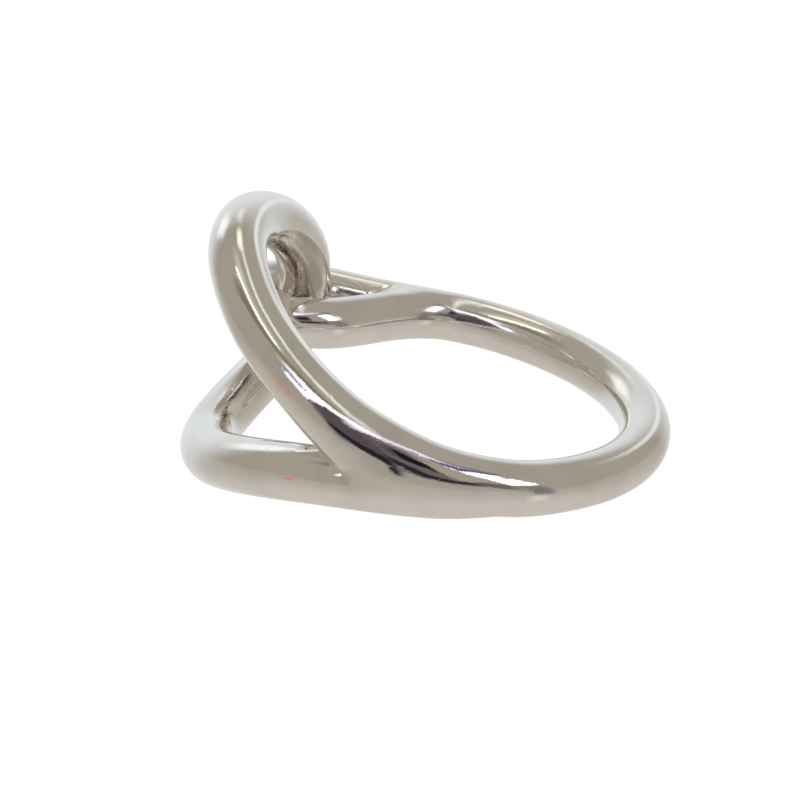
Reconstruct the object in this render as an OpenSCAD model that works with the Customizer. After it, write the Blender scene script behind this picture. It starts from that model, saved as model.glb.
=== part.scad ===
// Polished metal finger ring, lying at rest on its side.
// One round wire goes round the finger. Its near end sweeps up into a wide teardrop loop and
// comes back under to the shank, and its far end is a small eye, closed round the loop's wire.
// Axes: +Z up, +X towards the back of the shank, origin under the middle of the bounding box.

/* [Shank] */
// Inner diameter of the shank, where the finger goes
finger_d = 16.5; // [15.0:0.1:19.0]
// Wire diameter round the back of the shank
shank_wire = 2.1; // [1.9:0.05:2.3]

/* [Loop and eye] */
// Wire diameter along the loop, over the top of the finger
loop_wire = 2.3; // [2.1:0.05:2.5]
// Wire diameter along the inner leg of the eye
eye_wire = 2.2; // [2.0:0.05:2.3]

/* [Solder joints] */
// Radius of the blend along the outside of the fork where the loop leaves the shank
fork_blend_r = 0.75; // [0.65:0.05:0.8]
// Radius of the blend that fills the crotch of the eye
eye_blend_r = 0.7; // [0.6:0.05:0.75]

/* [Rest pose] */
// Tilt about Y at which the ring lies on the loop's low side and the back of the shank
rest_tilt = 12.75; // [12:0.25:14]
// Small roll about X of the same pose
rest_roll = 0.5; // [0:0.1:1]

/* [Smoothness] */
// Sides of a swept wire
wire_sides = 20; // [12:2:24]
// Rings of a swept wire between two of its control points
wire_steps = 4; // [2:1:5]

/* [Hidden] */

shank_r = (finger_d + shank_wire) / 2;
// Angles round the finger at which the plain shank ends
near_end = -40;
far_end = 80;
// Angle between the control points that keep a route on the shank's circle
shank_pitch = 12;
// The routes are drawn for a shank of this radius, and grow or shrink with the finger
route_r = 9.3;
route_scale = shank_r / route_r;
// From the middle of the shank's circle to the origin, at rest
rest_shift = [-0.06, -0.18, 3.11];
shank_fn = 128;
blend_fn = 32;

// A control point that keeps a smooth curve on the shank's own circle
function on_shank(angle) =
    let (r = route_r * 6 / (4 + 2 * cos(shank_pitch)))
    [r * cos(angle), r * sin(angle), 0, shank_wire];

// Control points of the loop, from the shank over the top, down through the eye and back:
// x, y, height over the shank's plane, wire diameter
loop_route = [
    on_shank(near_end + shank_pitch), on_shank(near_end), on_shank(near_end - shank_pitch),
    [4.4, -8.3, 0, 2.2], [2.8, -8.9, 0.1, 2.25], [0.9, -9.25, 0.4, loop_wire],
    [-0.9, -9.1, 0.9, loop_wire], [-2.6, -8.6, 1.45, 2.25], [-4.0, -7.8, 2.05, 2.25],
    [-5.3, -6.9, 2.8, 2.25], [-6.5, -5.7, 3.6, loop_wire], [-7.5, -4.2, 4.6, loop_wire],
    [-8.15, -2.3, 5.35, loop_wire], [-8.15, -0.1, 5.65, loop_wire], [-7.8, 2.0, 5.4, loop_wire],
    [-7.1, 4.1, 4.75, loop_wire], [-6.3, 6.0, 3.6, loop_wire], [-5.8, 7.3, 2.2, loop_wire],
    [-5.6, 7.7, 0.6, 2.2], [-5.65, 7.6, -0.9, 2.15], [-6.1, 6.7, -2.2, 2.15],
    [-7.1, 5.0, -3.1, 2.2], [-7.95, 2.8, -3.75, 2.25], [-8.35, 0.3, -4.0, loop_wire],
    [-7.85, -2.5, -3.45, loop_wire], [-6.7, -4.9, -2.5, loop_wire],
    [-5.2, -7.0, -1.55, loop_wire], [-3.4, -8.45, -0.8, loop_wire],
    [-1.5, -9.2, -0.4, loop_wire], [0.6, -9.4, -0.2, loop_wire], [2.8, -9.0, -0.1, 2.1],
    [4.6, -8.2, 0, 1.7], [6.0, -7.2, 0, 1.2]
];
// The control point of the loop that lies inside the eye, where its two arms meet
loop_middle = 19;

// Control points of the eye: the outer leg, round the loop's wire, and the inner leg
eye_route = [
    on_shank(far_end - shank_pitch), on_shank(far_end), [-0.4, 9.35, 0, shank_wire],
    [-2.3, 9.4, 0, 2.05], [-4.0, 9.65, 0, 2.05], [-5.6, 9.9, 0, 2.0], [-7.3, 9.6, 0, 2.0],
    [-8.1, 8.1, 0, 2.0], [-7.6, 6.0, 0, 2.05], [-5.5, 5.0, 0, 2.15], [-3.7, 6.05, 0, eye_wire],
    [-2.2, 7.65, 0, 2.15], [-0.8, 8.7, 0, 1.9], [0.3, 9.1, 0, 1.1], [1.4, 9.3, 0, 0.7]
];
// The control points of the eye past its crotch, and at its far tip, where its two legs meet
eye_root = 4;
eye_tip = 7;

// Centres of the blend in each crotch, from inside the metal to the open side
fork_blend = [[0.9, -9.7, 0.3], [0.6, -9.7, -0.1], [-1.5, -9.5, 0.8], [-1.5, -9.6, -0.3]];
eye_blend = [[0.4, 9.1, 0], [-2.6, 8.5, 0], [-3.0, 8.3, 0]];

function unit(v) = v / norm(v);

function xyz(p) = [p[0], p[1], p[2]];

// Part of a route, from one control point to another
function stretch(route, from, to) = [for (i = [from : to]) route[i]];

// Weights of the four control points that shape a uniform cubic B-spline
function spline_weights(t) =
    [pow(1 - t, 3), 3 * pow(t, 3) - 6 * t * t + 4, 3 * (t + t * t - pow(t, 3)) + 1, pow(t, 3)] / 6;

// Point of the spline between control points i and i + 1
function spline_point(route, i, t) = spline_weights(t) * stretch(route, i - 1, i + 2);

function spline(route) =
    let (last = len(route) - 3)
    [for (i = [1 : last], step = [0 : wire_steps - 1]) spline_point(route, i, step / wire_steps),
     spline_point(route, last, 1)];

function tangent(curve, i) =
    unit(xyz(curve[min(i + 1, len(curve) - 1)]) - xyz(curve[max(i - 1, 0)]));

// Part of v that is square to the direction t
function square_to(v, t) = unit(v - (v * t) * t);

// One direction square to each point of the curve, carried along it without twist
function normals(curve) =
    let (first = square_to([0, 0, 1], tangent(curve, 0)))
    [for (i = 0, n = first;
          i < len(curve);
          i = i + 1, n = i < len(curve) ? square_to(n, tangent(curve, i)) : n) n];

// Corners of the wire's ring at one point of the curve
function wire_ring(curve, normal, i) =
    let (side = cross(tangent(curve, i), normal))
    [for (k = [0 : wire_sides - 1])
        let (a = 360 * k / wire_sides)
        xyz(curve[i]) + curve[i][3] / 2 * (cos(a) * normal + sin(a) * side)];

// Corner k of ring i, counted round and along the wire
function corner(i, k) = i * wire_sides + k % wire_sides;

// Ring of a swept wire that stands nearest to a control point
function ring_at(control_point) = (control_point - 1) * wire_steps;

// A round wire along a route, from one of its control points to another
module wire(route, from, to) {
    curve = spline(route);
    directions = normals(curve);
    rings = ring_at(to) - ring_at(from) + 1;
    points = [for (i = [ring_at(from) : ring_at(to)]) each wire_ring(curve, directions[i], i)];
    start_cap = [for (k = [0 : wire_sides - 1]) k];
    end_cap = [for (k = [wire_sides - 1 : -1 : 0]) corner(rings - 1, k)];
    walls = [for (i = [0 : rings - 2], k = [0 : wire_sides - 1]) each [
        [corner(i, k), corner(i + 1, k), corner(i + 1, k + 1)],
        [corner(i, k), corner(i + 1, k + 1), corner(i, k + 1)]
    ]];
    scale(route_scale) polyhedron(points, concat([start_cap, end_cap], walls));
}

// The wire's smooth blend in a crotch
module blend(centres, r) {
    scale(route_scale) hull() {
        for (c = centres) {
            translate(c) sphere(r = r, $fn = blend_fn);
        }
    }
}

module shank_wire_arc() {
    rotate([0, 0, near_end])
        rotate_extrude(angle = far_end - near_end, $fn = shank_fn)
            translate([shank_r, 0])
                circle(d = shank_wire, $fn = shank_fn);
}

module upper_wire() {
    wire(loop_route, 1, loop_middle);
}

module lower_wire() {
    wire(loop_route, loop_middle, len(loop_route) - 2);
}

module outer_leg_wire() {
    wire(eye_route, 1, eye_tip);
}

module inner_leg_wire() {
    wire(eye_route, eye_tip, len(eye_route) - 2);
}

// Stands a piece on the surface in the pose in which the ring comes to rest
module at_rest() {
    translate(rest_shift)
        rotate([rest_roll, rest_tilt, 0])
            children();
}

// Plain round wire round the back of the finger
module shank() {
    color("silver") at_rest() shank_wire_arc();
}

// From the shank up over the finger and down into the eye
module upper_arm() {
    color("silver") at_rest() upper_wire();
}

// From the eye back under to the shank, cut to sit against it
module lower_arm() {
    color("silver") at_rest() difference() {
        lower_wire();
        upper_wire();
        shank_wire_arc();
    }
}

// Far end of the shank, past the loop's wire and round its back
module eye_outer_leg() {
    color("silver") at_rest() outer_leg_wire();
}

// From the tip of the eye back along the inside of the loop's wire, cut to sit against the outer leg
module eye_inner_leg() {
    color("silver") at_rest() difference() {
        inner_leg_wire();
        wire(eye_route, 1, eye_root);
    }
}

// Solder in the crotch where the loop leaves the shank
module near_fork_solder() {
    color("silver") at_rest() difference() {
        blend(fork_blend, fork_blend_r);
        upper_wire();
        lower_wire();
    }
}

// Solder that closes the eye
module eye_solder() {
    color("silver") at_rest() difference() {
        blend(eye_blend, eye_blend_r);
        outer_leg_wire();
        inner_leg_wire();
    }
}

shank();
upper_arm();
lower_arm();
eye_outer_leg();
eye_inner_leg();
near_fork_solder();
eye_solder();
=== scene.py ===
"""A polished silver finger ring of one bent wire, lying on its side on a white table.

The near end of the shank's wire sweeps up into a wide loop, goes down through a small eye at
the far end, and comes back under to the fork. The metal is one smooth skin, cut into three
pieces where the plain shank ends.
"""

import math

import bmesh
import bpy
import numpy as np
from mathutils import Euler, Matrix, Vector


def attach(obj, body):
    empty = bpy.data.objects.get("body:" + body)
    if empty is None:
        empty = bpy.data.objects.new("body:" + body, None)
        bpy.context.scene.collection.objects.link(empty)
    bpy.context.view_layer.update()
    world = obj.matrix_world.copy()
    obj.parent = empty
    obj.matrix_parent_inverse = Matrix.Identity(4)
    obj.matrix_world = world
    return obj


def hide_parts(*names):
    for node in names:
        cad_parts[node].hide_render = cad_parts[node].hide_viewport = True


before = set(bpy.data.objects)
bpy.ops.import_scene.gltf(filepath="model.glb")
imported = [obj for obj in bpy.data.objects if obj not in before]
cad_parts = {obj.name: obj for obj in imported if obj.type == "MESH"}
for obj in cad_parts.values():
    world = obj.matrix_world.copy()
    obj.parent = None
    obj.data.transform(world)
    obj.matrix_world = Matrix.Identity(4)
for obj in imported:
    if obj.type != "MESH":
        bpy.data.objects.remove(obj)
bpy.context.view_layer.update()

MM = 0.001
scene = bpy.context.scene

# ---------------------------------------------------------------- rest pose and camera

# The ring is drawn about the middle of its shank, flat, and then tipped to how it lies
SHANK_MIDDLE = Vector((-0.06, -0.18, 3.11)) * MM
TIP = Euler((math.radians(0.5), math.radians(12.75), 0), "XYZ")
REST = Matrix.Translation(SHANK_MIDDLE) @ TIP.to_matrix().to_4x4()

# The camera's place and axes are given in the flat ring's frame
CAMERA_PLACE = Vector((-0.724, -112.38, 44.58)) * MM
CAMERA_RIGHT = Vector((0.98455, 0.0653, 0.1625))
CAMERA_BACK = Vector((0, -0.9279, 0.3728))

camera = bpy.data.objects.new("camera", bpy.data.cameras.new("camera"))
scene.collection.objects.link(camera)
scene.camera = camera
camera.data.sensor_width = 36
camera.data.lens = 133.56
camera.data.clip_start = 0.002
camera.data.clip_end = 50
right = CAMERA_RIGHT.normalized()
back = (CAMERA_BACK - CAMERA_BACK.dot(right) * right).normalized()
axes = Matrix((right, back.cross(right), back)).transposed()
camera.matrix_world = REST @ Matrix.LocRotScale(CAMERA_PLACE, axes.to_quaternion(), None)

scene.view_settings.view_transform = "Standard"
# Light goes back and forth many times between polished wires that lie close together
scene.cycles.max_bounces = 16
scene.cycles.glossy_bounces = 12


# ---------------------------------------------------------------- shader maths

class Value:
    """A shader socket that takes part in Python expressions."""

    def __init__(self, shader, socket):
        self.shader = shader
        self.socket = socket

    def _math(self, operation, *terms):
        return self.shader.node("ShaderNodeMath", {"operation": operation},
                                dict(enumerate(terms)))

    def __add__(self, other):
        return self._math("ADD", self, other)

    def __sub__(self, other):
        return self._math("SUBTRACT", self, other)

    def __rsub__(self, other):
        return self._math("SUBTRACT", other, self)

    def __mul__(self, other):
        return self._math("MULTIPLY", self, other)

    __radd__ = __add__
    __rmul__ = __mul__

    def largest(self, other):
        return self._math("MAXIMUM", self, other)

    def step(self, low, high):
        """0 below low, 1 above high, smooth between. Falls where low is above high."""
        return self.shader.node(
            "ShaderNodeMapRange", {"interpolation_type": "SMOOTHSTEP"},
            {"Value": self, "From Min": low, "From Max": high, "To Min": 0, "To Max": 1})


class Shader:
    """A material with its nodes."""

    def __init__(self, name):
        self.material = bpy.data.materials.new(name)
        self.material.use_nodes = True
        self.tree = self.material.node_tree
        self.tree.nodes.clear()
        self.output = self.tree.nodes.new("ShaderNodeOutputMaterial")

    def node(self, kind, settings=None, values=None, output=0):
        """A new node with its settings and its sockets' values or links, as one of its outputs."""
        made = self.tree.nodes.new(kind)
        for key, value in (settings or {}).items():
            setattr(made, key, value)
        for key, value in (values or {}).items():
            if isinstance(value, Value):
                self.tree.links.new(value.socket, made.inputs[key])
            else:
                made.inputs[key].default_value = value
        return Value(self, made.outputs[output])

    def mix(self, factor, low, high):
        """A colour between two colours."""
        return self.node("ShaderNodeMix", {"data_type": "RGBA"},
                         {0: factor, 6: low, 7: high}, output=2)

    def surface(self, value):
        """The finished material."""
        self.tree.links.new(value.socket, self.output.inputs["Surface"])
        return self.material


# ---------------------------------------------------------------- the metal

SILVER = (0.86, 0.825, 0.79, 1)
WORN_SILVER = (0.80, 0.765, 0.725, 1)
# The three directions of the hairlines, and how fine they are
HAIRLINES = [((0.3, 0.5, 0.2), 5200), ((1.1, -0.4, 0.9), 4300), ((-0.7, 0.9, 1.7), 6100)]
HAIRLINE_STRETCH = (1, 14, 14)
DEEPEST_MARK = 0.02 * MM


def polished_silver():
    """Polished silver with hairlines, handling marks, and a surface waved a little by wear."""
    shader = Shader("polished_silver")
    place = shader.node("ShaderNodeTexCoord", output="Object")

    def noise(scale, detail=2.0, roughness=0.5, turn=(0, 0, 0), stretch=(1, 1, 1)):
        """Noise in the ring's own coordinates, turned and stretched."""
        turned = shader.node("ShaderNodeMapping", {"vector_type": "TEXTURE"},
                             {"Vector": place, "Rotation": turn, "Scale": stretch})
        return shader.node("ShaderNodeTexNoise", {},
                           {"Vector": turned, "Scale": scale, "Detail": detail,
                            "Roughness": roughness})

    # Each direction's hairlines lie in their own patches
    hairlines = None
    for turn, scale in HAIRLINES:
        line = noise(scale, 1.0, 0.5, turn, HAIRLINE_STRETCH).step(0.66, 0.72)
        patch = noise(620, 1.0, 0.5, turn).step(0.50, 0.62)
        hairlines = line * patch if hairlines is None else hairlines.largest(line * patch)
    # Handling marks dull the polish in soft patches, and rounded wear waves it
    smudge = noise(420, 3.0, 0.6).step(0.42, 0.68)
    wear = noise(900, 2.0, 0.5)
    dents = noise(3800, 2.0, 0.6)
    grain = noise(8500, 2.0, 0.6)
    # The polish is duller towards the eye than at the fork
    far = shader.node("ShaderNodeSeparateXYZ", {}, {"Vector": place}, output="Y")
    far = far.step(-3 * MM, 9 * MM)
    roughness = 0.03 + smudge * 0.04 + far * 0.07 + hairlines * 0.10 + grain * 0.02
    height = wear * 0.6 + dents * 0.18 + grain * 0.07 - hairlines * 0.08
    bump = shader.node("ShaderNodeBump", {}, {"Strength": 0.6, "Distance": DEEPEST_MARK,
                                              "Height": height})
    colour = shader.mix(smudge, SILVER, WORN_SILVER)
    metal = shader.node("ShaderNodeBsdfPrincipled", {},
                        {"Base Color": colour, "Metallic": 1.0, "Roughness": roughness,
                         "Normal": bump})
    return shader.surface(metal)


# ---------------------------------------------------------------- the wire's routes

# Sizes in millimetres, and angles round the finger in degrees
SHANK_R = 9.3
SHANK_WIRE = 2.1
LOOP_WIRE = 2.3
NEAR_END = -40
FAR_END = 80
PITCH = 12


def on_shank(angle):
    """A control point that keeps the wire on the shank's circle, where each is a PITCH apart."""
    r = SHANK_R * 6 / (4 + 2 * math.cos(math.radians(PITCH)))
    return (r * math.cos(math.radians(angle)), r * math.sin(math.radians(angle)), 0, SHANK_WIRE)


# Control points in millimetres: x, y, height over the shank's plane, wire diameter
TOP_OF_THE_LOOP = (-8.15, -0.1, 5.65, LOOP_WIRE)
IN_THE_EYE = (-5.6, 7.7, 0.6, 2.2)
TIP_OF_THE_EYE = (-8.1, 8.1, 0, 2.0)
LOOP = [on_shank(angle) for angle in range(FAR_END + PITCH, NEAR_END - PITCH - 1, -PITCH)] + [
    (4.4, -8.3, 0, 2.2), (2.8, -8.9, 0.1, 2.25), (0.9, -9.25, 0.4, LOOP_WIRE),
    (-0.9, -9.1, 0.9, LOOP_WIRE), (-2.6, -8.6, 1.45, 2.25), (-4.0, -7.8, 2.05, 2.25),
    (-5.3, -6.9, 2.8, 2.25), (-6.5, -5.7, 3.6, LOOP_WIRE), (-7.5, -4.2, 4.6, LOOP_WIRE),
    (-8.15, -2.3, 5.35, LOOP_WIRE), TOP_OF_THE_LOOP, (-7.8, 2.0, 5.4, LOOP_WIRE),
    (-7.1, 4.1, 4.75, LOOP_WIRE), (-6.3, 6.0, 3.6, LOOP_WIRE), (-5.8, 7.3, 2.2, LOOP_WIRE),
    IN_THE_EYE, (-5.65, 7.6, -0.9, 2.15), (-6.1, 6.7, -2.2, 2.15),
    (-7.1, 5.0, -3.1, 2.2), (-7.95, 2.8, -3.75, 2.25), (-8.35, 0.3, -4.0, LOOP_WIRE),
    (-7.85, -2.5, -3.45, LOOP_WIRE), (-6.7, -4.9, -2.5, LOOP_WIRE),
    (-5.2, -7.0, -1.55, LOOP_WIRE), (-3.4, -8.45, -0.8, LOOP_WIRE),
    (-1.5, -9.2, -0.4, LOOP_WIRE), (0.6, -9.4, -0.2, LOOP_WIRE), (2.8, -9.0, -0.1, 2.1),
    (4.6, -8.2, 0, 1.7), (6.0, -7.2, 0, 1.2)]
EYE = [on_shank(FAR_END - 2 * PITCH), on_shank(FAR_END - PITCH), on_shank(FAR_END)] + [
    (-0.4, 9.35, 0, SHANK_WIRE), (-2.3, 9.4, 0, 2.05), (-4.0, 9.65, 0, 2.05),
    (-5.6, 9.9, 0, 2.0), (-7.3, 9.6, 0, 2.0), TIP_OF_THE_EYE, (-7.6, 6.0, 0, 2.05),
    (-5.5, 5.0, 0, 2.15), (-3.7, 6.05, 0, 2.2), (-2.2, 7.65, 0, 2.15), (-0.8, 8.75, 0, 2.12),
    (0.6, 9.3, 0, 2.1), (1.9, 9.16, 0, 2.06), (3.3, 8.7, 0, 2.0)]

# The metal that fills the fork flush. It leaves the upper arm's lower side above the crotch, and
# ends where the arms are one wire
FORK = [(-5.9, -6.3, 3.2, 1.2), (-5.0, -7.05, 2.62, 1.6), (-4.05, -7.83, 1.97, 1.95),
        (-3.15, -8.38, 1.42, 2.15), (-2.35, -8.74, 0.92, 2.25), (-1.7, -9.02, 0.45, 2.25),
        (-0.9, -9.2, 0.2, 2.25), (0.3, -9.32, 0.08, 2.25), (1.8, -9.1, 0.03, 2.15),
        (3.2, -8.75, 0.0, 1.9), (4.4, -8.3, 0.0, 1.6)]

# The nearest place on a wire is first looked for in steps along its line, in batches of points,
# and then found in a few rounds
LINE_STEP = 0.1
BATCH = 4000
NEAREST_ROUNDS = 4
LEAST_CURVE = 0.3


class Arm:
    """A stretch of a route between two of its control points, and the distance to its wire."""

    def __init__(self, route, first, last):
        self.route = np.array(route, float)
        self.first = first
        self.last = last
        self.steps = np.arange(first, last + 1e-9, LINE_STEP)
        self.line = self.at(self.steps)[0][:, :3]

    def at(self, place):
        """Points of the cubic spline, with the diameter, and their first and second slopes."""
        i = np.clip(np.floor(place).astype(int), 1, len(self.route) - 3)
        t = (place - i)[:, None]
        near = [self.route[i + k] for k in (-1, 0, 1, 2)]
        weights = ((1 - t) ** 3, 3 * t ** 3 - 6 * t * t + 4, 3 * (t + t * t - t ** 3) + 1, t ** 3)
        slopes = (-3 * (1 - t) ** 2, 9 * t * t - 12 * t, 3 + 6 * t - 9 * t * t, 3 * t * t)
        bends = (6 * (1 - t), 18 * t - 12, 6 - 18 * t, 6 * t)
        return [sum(w * p for w, p in zip(ws, near)) / 6 for ws in (weights, slopes, bends)]

    def distance(self, points):
        """How far the points are outside the wire, and the direction away from it."""
        place = np.empty(len(points))
        for start in range(0, len(points), BATCH):
            some = points[start:start + BATCH]
            gaps = (self.line ** 2).sum(1) - 2 * some @ self.line.T
            place[start:start + BATCH] = self.steps[gaps.argmin(1)]
        for _ in range(NEAREST_ROUNDS):
            at, slope, bend = (v[:, :3] for v in self.at(place))
            away = points - at
            curve = (slope ** 2).sum(1) - (away * bend).sum(1)
            place = place + (away * slope).sum(1) / np.maximum(curve, LEAST_CURVE)
            place = np.clip(place, self.first, self.last)
        at = self.at(place)[0]
        away = points - at[:, :3]
        length = np.linalg.norm(away, axis=1)
        return length - at[:, 3] / 2, away / np.maximum(length, 1e-6)[:, None]


UPPER_ARM = Arm(LOOP, 1, LOOP.index(IN_THE_EYE))
LOWER_ARM = Arm(LOOP, LOOP.index(IN_THE_EYE), len(LOOP) - 2)
FORK_FILL = Arm(FORK, 1, len(FORK) - 2)
OUTER_LEG = Arm(EYE, 1, EYE.index(TIP_OF_THE_EYE))
INNER_LEG = Arm(EYE, EYE.index(TIP_OF_THE_EYE), len(EYE) - 2)

# How wide a crotch is filled where it keeps its crease, and how much wider where it is filed
CREASE = 0.06
FORK_FILLET = 0.32
EYE_FILLET = 0.4
# The fork is filed on its front, from its crotch to where the arms are one wire. Each bound is a
# stretch of y or x over which the filing fades
FILED_FRONT = (-9.4, -8.6)
FILED_START = (-2.7, -1.7)
FILED_END = (1.5, 4.0)
# The heights over which the fork's fill starts to melt into the upper arm
MELTED = (0.3, 1.0)
# The stretches of x over which the filling of the eye's crotch starts and ends
CROTCH_START = (-5.0, -2.5)
CROTCH_END = (-1.2, 0.6)


def smooth(value, low, high):
    """0 below low, 1 above high, smooth between."""
    t = np.clip((value - low) / (high - low), 0, 1)
    return t * t * (3 - 2 * t)


def blended(one, other, width):
    """The distance to two arms whose crotch is filled over this width."""
    a, away_a = one
    b, away_b = other
    share = np.clip(0.5 + 0.5 * (b - a) / width, 0, 1)
    distance = b + (a - b) * share - width * share * (1 - share)
    return distance, away_b + (away_a - away_b) * share[:, None]


def skin(points):
    """The distance to the ring's skin, and the direction out of the metal."""
    x, y, height = points.T
    # The fork is filed flush outside, and keeps its crease inside the loop
    front = 1 - smooth(y, *FILED_FRONT)
    filed = front * smooth(x, *FILED_START) * (1 - smooth(x, *FILED_END))
    loop = blended(UPPER_ARM.distance(points), LOWER_ARM.distance(points),
                   CREASE + FORK_FILLET * filed)
    # The fill melts into the upper arm, above the crease
    loop = blended(loop, FORK_FILL.distance(points),
                   CREASE + FORK_FILLET * np.maximum(filed, smooth(height, *MELTED)))
    crotch = smooth(x, *CROTCH_START) * (1 - smooth(x, *CROTCH_END))
    eye = blended(OUTER_LEG.distance(points), INNER_LEG.distance(points),
                  CREASE + EYE_FILLET * crotch)
    nearer = loop[0] < eye[0]
    return np.where(nearer, loop[0], eye[0]), np.where(nearer[:, None], loop[1], eye[1])


# ---------------------------------------------------------------- the skin

# The thin wires' share of the finished diameter, and the spacing of the skin's vertices
THIN = 0.8
SPACING = 0.08
SETTLING_ROUNDS = 4
LEAST_SLOPE = 0.2


def finished(made):
    """The mesh of an object with its modifiers or its bevel, which is then removed."""
    depsgraph = bpy.context.evaluated_depsgraph_get()
    mesh = bpy.data.meshes.new_from_object(made.evaluated_get(depsgraph))
    bpy.data.objects.remove(made)
    return mesh


def thin_wire(name, route):
    """A wire along a route, thinner than the finished one, so that its turns stay apart."""
    data = bpy.data.curves.new(name, "CURVE")
    data.dimensions = "3D"
    data.bevel_depth = 1
    data.bevel_resolution = 5
    data.use_fill_caps = True
    spline = data.splines.new("NURBS")
    spline.points.add(len(route) - 1)
    for point, (x, y, z, diameter) in zip(spline.points, route):
        point.co = (x, y, z, 1)
        point.radius = THIN * diameter / 2
    spline.order_u = 4
    spline.resolution_u = 12
    made = bpy.data.objects.new(name, data)
    scene.collection.objects.link(made)
    return finished(made)


def rough_ring():
    """The thin wires, melted into one closed skin."""
    joined = bmesh.new()
    for name, route in (("loop_core", LOOP), ("fork_core", FORK), ("eye_core", EYE)):
        joined.from_mesh(thin_wire(name, route))
    mesh = bpy.data.meshes.new("ring_core")
    joined.to_mesh(mesh)
    joined.free()
    core = bpy.data.objects.new("ring_core", mesh)
    scene.collection.objects.link(core)
    remesh = core.modifiers.new("melt", "REMESH")
    remesh.mode = "VOXEL"
    remesh.voxel_size = SPACING
    return finished(core)


def onto_skin(points, rounds=3):
    """The points, moved onto the finished skin."""
    for _ in range(rounds):
        distance, out = skin(points)
        slope = np.maximum((out ** 2).sum(1), LEAST_SLOPE)
        points = points - distance[:, None] * out / slope[:, None]
    return points


def coordinates(mesh):
    """The places of a mesh's vertices, as rows."""
    flat = np.empty(3 * len(mesh.vertices))
    mesh.vertices.foreach_get("co", flat)
    return flat.reshape(-1, 3)


def settled(mesh):
    """Vertices spread evenly over the finished skin."""
    points = onto_skin(coordinates(mesh))
    ends = np.empty(2 * len(mesh.edges), int)
    mesh.edges.foreach_get("vertices", ends)
    one, other = ends.reshape(-1, 2).T
    count = np.bincount(ends, minlength=len(points))[:, None]
    for _ in range(SETTLING_ROUNDS):
        total = np.zeros_like(points)
        for axis in range(3):
            total[:, axis] = (np.bincount(one, points[other, axis], len(points))
                              + np.bincount(other, points[one, axis], len(points)))
        points = onto_skin(points + 0.5 * (total / count - points), 1)
    return onto_skin(points)


def cut_free(shape, angle):
    """Cuts the skin across the shank's wire at an angle round the finger."""
    turn = math.radians(angle)
    middle = Vector((math.cos(turn), math.sin(turn), 0)) * SHANK_R
    around = Vector((-math.sin(turn), math.cos(turn), 0))
    faces = [f for f in shape.faces if (f.calc_center_median() - middle).length < SHANK_WIRE]
    near = set(faces)
    for face in faces:
        near.update(face.verts)
        near.update(face.edges)
    cut = bmesh.ops.bisect_plane(shape, geom=list(near), dist=1e-5, plane_co=middle,
                                 plane_no=around)["geom_cut"]
    bmesh.ops.split_edges(shape, edges=[e for e in cut if isinstance(e, bmesh.types.BMEdge)])


def island(shape, start):
    """The faces that are joined to one face."""
    found = {start}
    waiting = [start]
    while waiting:
        face = waiting.pop()
        for edge in face.edges:
            for other in edge.link_faces:
                if other not in found:
                    found.add(other)
                    waiting.append(other)
    return found


def nearest_face(shape, place):
    """The face whose middle is nearest to a place."""
    return min(shape.faces, key=lambda f: (f.calc_center_median() - Vector(place)).length)


def piece_of(shape, name, place, *nodes):
    """One closed piece of the ring, the one whose skin passes nearest to a place."""
    part = shape.copy()
    keep = island(part, nearest_face(part, place))
    bmesh.ops.delete(part, geom=[f for f in part.faces if f not in keep], context="FACES")
    bmesh.ops.holes_fill(part, edges=[e for e in part.edges if e.is_boundary], sides=0)
    # Only the filled ends, and a few faces beside the cuts, have more than four corners
    for face in part.faces:
        face.smooth = len(face.verts) < 5
    bmesh.ops.triangulate(part, faces=[f for f in part.faces if len(f.verts) > 4])
    mesh = bpy.data.meshes.new(name)
    part.to_mesh(mesh)
    part.free()
    points = onto_skin(coordinates(mesh))
    mesh.vertices.foreach_set("co", points.ravel())
    out = skin(points)[1]
    out /= np.linalg.norm(out, axis=1)[:, None]
    mesh.normals_split_custom_set_from_vertices([tuple(n) for n in out])
    mesh.transform(REST @ Matrix.Scale(MM, 4))
    mesh.materials.append(silver)
    piece = bpy.data.objects.new(name, mesh)
    scene.collection.objects.link(piece)
    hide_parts(*nodes)
    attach(piece, "root")


silver = polished_silver()
whole_skin = rough_ring()
whole_skin.vertices.foreach_set("co", settled(whole_skin).ravel())
ring = bmesh.new()
ring.from_mesh(whole_skin)
cut_free(ring, NEAR_END)
cut_free(ring, FAR_END)
piece_of(ring, "shank_wire", (SHANK_R, 0, 0), "shank")
piece_of(ring, "loop_wire", TOP_OF_THE_LOOP[:3], "upper_arm", "lower_arm", "near_fork_solder")
piece_of(ring, "eye_wire", TIP_OF_THE_EYE[:3], "eye_outer_leg", "eye_inner_leg", "eye_solder")
ring.free()


# ---------------------------------------------------------------- table and light

WHITE = (1, 1, 1, 1)
# Half the table's side, in metres, and a glow that leaves it plain white
TABLE_HALF = 4
TABLE_GLOW = 1.05
# The metal's own colour, which tints all that it mirrors
METAL_TINT = (0.85, 0.815, 0.78)
GAMMA = 2.2


def staged(name, shape, material):
    """A thing round the ring, which isn't part of it."""
    mesh = bpy.data.meshes.new(name)
    shape.to_mesh(mesh)
    shape.free()
    mesh.materials.append(material)
    made = bpy.data.objects.new(name, mesh)
    scene.collection.objects.link(made)
    return made


def table():
    """The white table. The metal mirrors the tent's cloth below it instead."""
    shader = Shader("table_white")
    glow = shader.node("ShaderNodeEmission", {}, {"Color": WHITE, "Strength": TABLE_GLOW})
    shape = bmesh.new()
    bmesh.ops.create_grid(shape, x_segments=1, y_segments=1, size=TABLE_HALF)
    made = staged("table", shape, shader.surface(glow))
    made.visible_glossy = False


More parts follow.
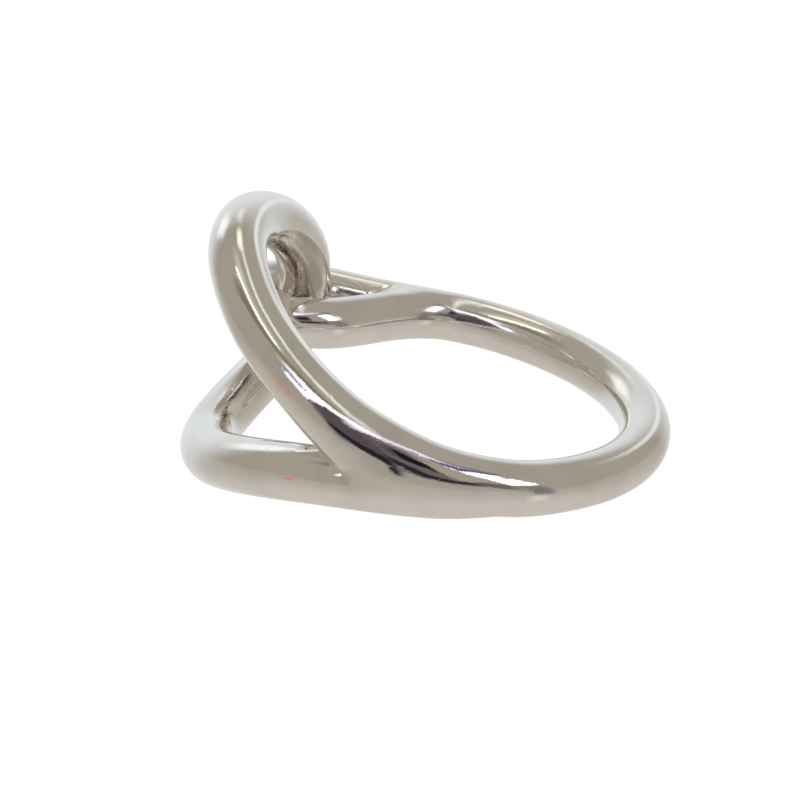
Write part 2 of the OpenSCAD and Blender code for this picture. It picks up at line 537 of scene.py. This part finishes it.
def tent():
    """A soft light tent: a white wall behind, warm grey overhead, windows and a dark doorway."""
    shader = Shader("tent_cloth")
    place = shader.node("ShaderNodeTexCoord", output="Object")

    def towards(turn, rise):
        """The direction at an angle right of straight behind, and an angle up."""
        turn, rise = math.radians(turn), math.radians(rise)
        return Vector((math.sin(turn) * math.cos(rise), math.cos(turn) * math.cos(rise),
                       math.sin(rise)))

    def along(direction):
        """How far the cloth lies in a direction from the middle, 1 at most."""
        return shader.node("ShaderNodeVectorMath", {"operation": "DOT_PRODUCT"},
                           {0: place, 1: direction}, output=1)

    def colour(red, green, blue, gain=1.0):
        """The cloth's colour that the metal shows as this one, out of 255."""
        return tuple(gain * (shown / 255) ** GAMMA / tint
                     for shown, tint in zip((red, green, blue), METAL_TINT)) + (1,)

    def patch(cloth, turn, rise, wide, high, tone, soft=0.35, lean=0.0):
        """A soft-edged rectangle of light or dark on the cloth, its half sizes in degrees."""
        middle = towards(turn, rise)
        side = Vector((math.cos(math.radians(turn)), -math.sin(math.radians(turn)), 0))
        side.rotate(Matrix.Rotation(math.radians(lean), 3, middle))
        up = side.cross(middle)
        wide, high = math.sin(math.radians(wide)), math.sin(math.radians(high))
        across = shader.node("ShaderNodeMath", {"operation": "ABSOLUTE"}, {0: along(side)})
        upward = shader.node("ShaderNodeMath", {"operation": "ABSOLUTE"}, {0: along(up)})
        on_this_side = along(middle).step(0.0, 0.1)
        mask = (across.step(wide * (1 + soft), wide * (1 - soft))
                * upward.step(high * (1 + soft), high * (1 - soft)) * on_this_side)
        return shader.mix(mask, cloth, tone)

    # Warm grey cloth, lighter below, and a white wall behind
    height = along(Vector((0, 0, 1)))
    cloth = shader.mix(height.step(-0.15, 0.1), colour(172, 165, 154), colour(157, 150, 137))
    cloth = shader.mix(height.step(-0.10, -0.8), cloth, colour(193, 185, 175))
    cloth = shader.mix(along(towards(-12, 0)).step(0.60, 0.97), cloth, colour(221, 223, 221, 0.92))
    cloth = patch(cloth, -34, 28, 9, 10, colour(250, 250, 245), 0.6)
    cloth = patch(cloth, 26, 14, 20, 3.5, colour(225, 225, 220), 0.8, -45)
    # Overhead lamps
    cloth = patch(cloth, -140, 64, 24, 6, colour(122, 114, 96), 0.4)
    cloth = patch(cloth, -95, 80, 18, 6, colour(190, 187, 160), 0.6)
    cloth = patch(cloth, -112, 75, 13, 2.2, colour(255, 252, 226, 2.4), 0.2)
    cloth = patch(cloth, 85, 79, 30, 3, colour(228, 228, 215), 0.7)
    # The dark doorway in front
    cloth = patch(cloth, 170, 31, 42, 17, colour(104, 95, 96), 0.12)
    cloth = patch(cloth, 138, 34, 10, 11, colour(158, 148, 132), 0.25)
    cloth = patch(cloth, 163, 35, 10, 5, colour(34, 30, 36), 0.25)
    cloth = patch(cloth, 165, 19, 22, 3, colour(46, 42, 46), 0.25)
    cloth = patch(cloth, -163, 32, 13, 17, colour(84, 74, 76), 0.25)
    cloth = patch(cloth, -163, 15, 14, 4.5, colour(40, 37, 46), 0.3, -18)
    cloth = patch(cloth, 118, 4, 6, 15, colour(122, 114, 114), 0.5)
    # Windows on both sides of the doorway, and the bright strips over it
    cloth = patch(cloth, 115, 51, 9, 4, colour(80, 74, 110), 0.5)
    cloth = patch(cloth, 119, 34, 6.5, 12, colour(255, 250, 255, 2.2), 0.2)
    cloth = patch(cloth, -147, 41, 13, 3.4, colour(245, 240, 255, 1.6), 0.3, 48)
    cloth = patch(cloth, -146, 44, 5, 2.5, colour(80, 86, 120), 0.4, 48)
    cloth = patch(cloth, 152, 54, 22, 2.2, colour(215, 200, 225, 1.3), 0.4, 14)
    cloth = patch(cloth, -170, 53, 16, 4, colour(245, 240, 250, 1.4), 0.4, 10)
    # A warm card and a red one, low at the sides
    cloth = patch(cloth, 123, -25, 5, 10, colour(216, 202, 188), 0.7)
    cloth = patch(cloth, -109, -6, 3.2, 2.2, colour(225, 105, 92), 0.7, -20)
    # Two lamps high behind
    cloth = patch(cloth, 6, 58, 5, 7, colour(250, 245, 220, 1.1), 0.6)
    cloth = patch(cloth, 0, 36, 5, 6, colour(222, 220, 210), 0.8)
    glow = shader.node("ShaderNodeEmission", {}, {"Color": cloth})
    shape = bmesh.new()
    bmesh.ops.create_uvsphere(shape, u_segments=96, v_segments=48, radius=1)
    made = staged("light_tent", shape, shader.surface(glow))
    made.visible_camera = False
    made.visible_shadow = False


table()
tent()
scene.world = bpy.data.worlds.new("room")
scene.world.use_nodes = True
scene.world.node_tree.nodes["Background"].inputs["Color"].default_value = WHITE
